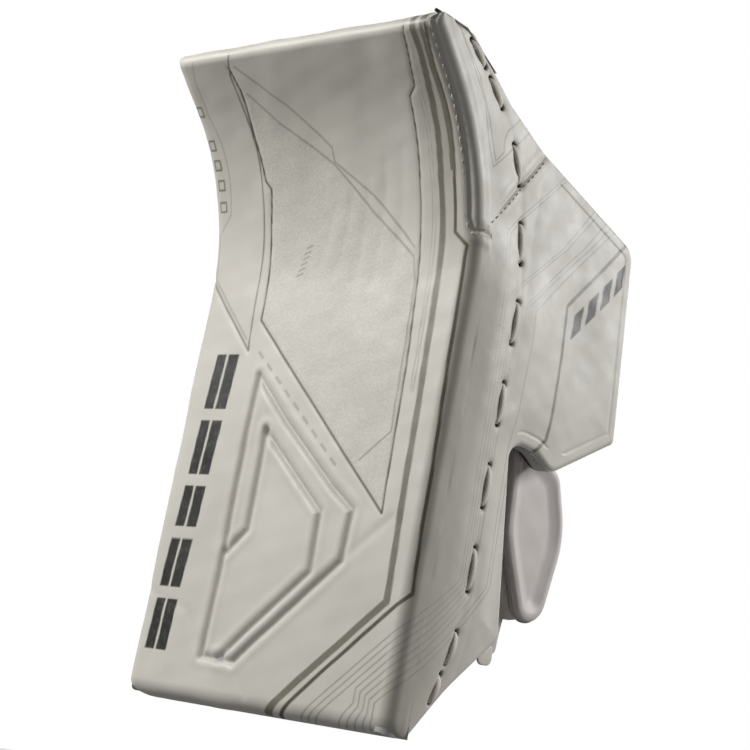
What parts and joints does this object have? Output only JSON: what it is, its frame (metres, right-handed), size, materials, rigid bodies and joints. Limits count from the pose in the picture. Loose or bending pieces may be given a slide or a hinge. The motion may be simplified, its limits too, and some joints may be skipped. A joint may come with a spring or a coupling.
{
  "type": "goalie blocker",
  "caption": "Ice hockey goalie blocker for the right hand: padded board curled forward at the top, laced thumb wing, glove with moving fingers and a strapped wrist cuff.",
  "frame": {"origin": "middle of the board's flat bottom edge; the striking face is the plane Y = -0.0135 m", "axes": "+X towards the thumb, +Y from the striking face to the palm, +Z towards the elbow"},
  "size_m": [0.2121, 0.203, 0.366],
  "materials": {
    "white_skin": "satin coated leather",
    "board_foam": "closed-cell foam",
    "stiff_plastic": "matte",
    "backing_fabric": "brushed knit",
    "piping": "satin",
    "plated_steel": "zinc plated",
    "black_fabric": "coarse weave",
    "lace_cord": "braided",
    "palm_leather": "suede",
    "grip_leather": "suede",
    "tape": "hook and loop pile"
  },
  "bodies": {
    "board": {"front_skin": "white_skin", "face_foam": "board_foam", "stiffener_plate": "stiff_plastic", "back_foam": "board_foam", "back_cover": "backing_fabric", "bottom_binding": "piping", "top_binding": "piping", "tee_nuts": "plated_steel", "hand_screws": "plated_steel", "side_wall_core": "board_foam", "side_wall_skin": "white_skin", "corner_gusset": "white_skin", "side_wall_liner": "black_fabric", "side_lace": "lace_cord", "hand_pad": "black_fabric", "hand_back": "black_fabric", "palm": "palm_leather", "palm_grip": "grip_leather"},
    "middle_finger": {"middle_stall": "palm_leather"},
    "ring_finger": {"ring_stall": "palm_leather"},
    "little_finger": {"little_stall": "palm_leather"},
    "index_finger": {"index_stall": "palm_leather", "index_cup": "white_skin", "index_shield": "white_skin", "index_flap": "black_fabric", "index_tab": "white_skin"},
    "thumb": {"thumb_stall": "palm_leather", "thumb_guard": "black_fabric"},
    "cuff": {"cuff_liner": "backing_fabric", "cuff_shell": "white_skin", "cuff_binding": "piping", "loop_tape": "tape", "strap_anchor": "black_fabric"},
    "strap": {"wrist_strap": "black_fabric", "hook_tape": "tape", "strap_tab": "stiff_plastic"}
  },
  "joints": [
    {"name": "middle_knuckle", "type": "hinge", "parent": "board", "child": "middle_finger", "pos_m": [0.035, 0.0525, 0.174], "axis": [1, 0, 0], "range_deg": [-30, 8]},
    {"name": "ring_knuckle", "type": "hinge", "parent": "board", "child": "ring_finger", "pos_m": [0.012, 0.0525, 0.174], "axis": [1, 0, 0], "range_deg": [-30, 8]},
    {"name": "little_knuckle", "type": "hinge", "parent": "board", "child": "little_finger", "pos_m": [-0.011, 0.0525, 0.174], "axis": [1, 0, 0], "range_deg": [-30, 8]},
    {"name": "index_knuckle", "type": "hinge", "parent": "board", "child": "index_finger", "pos_m": [0.058, 0.0585, 0.168], "axis": [1, 0, 0], "range_deg": [0, 12]},
    {"name": "thumb_knuckle", "type": "hinge", "parent": "board", "child": "thumb", "pos_m": [0.076, 0.0565, 0.246], "axis": [1, 0, 0], "range_deg": [-5, 20]},
    {"name": "wrist_hinge", "type": "hinge", "parent": "board", "child": "cuff", "pos_m": [0.016, 0.0485, 0.252], "axis": [1, 0, 0], "range_deg": [-20, 15]},
    {"name": "strap_hinge", "type": "hinge", "parent": "cuff", "child": "strap", "pos_m": [-0.0289, 0.0705, 0.304], "axis": [0, 0, 1], "range_deg": [0, 110]}
  ]
}
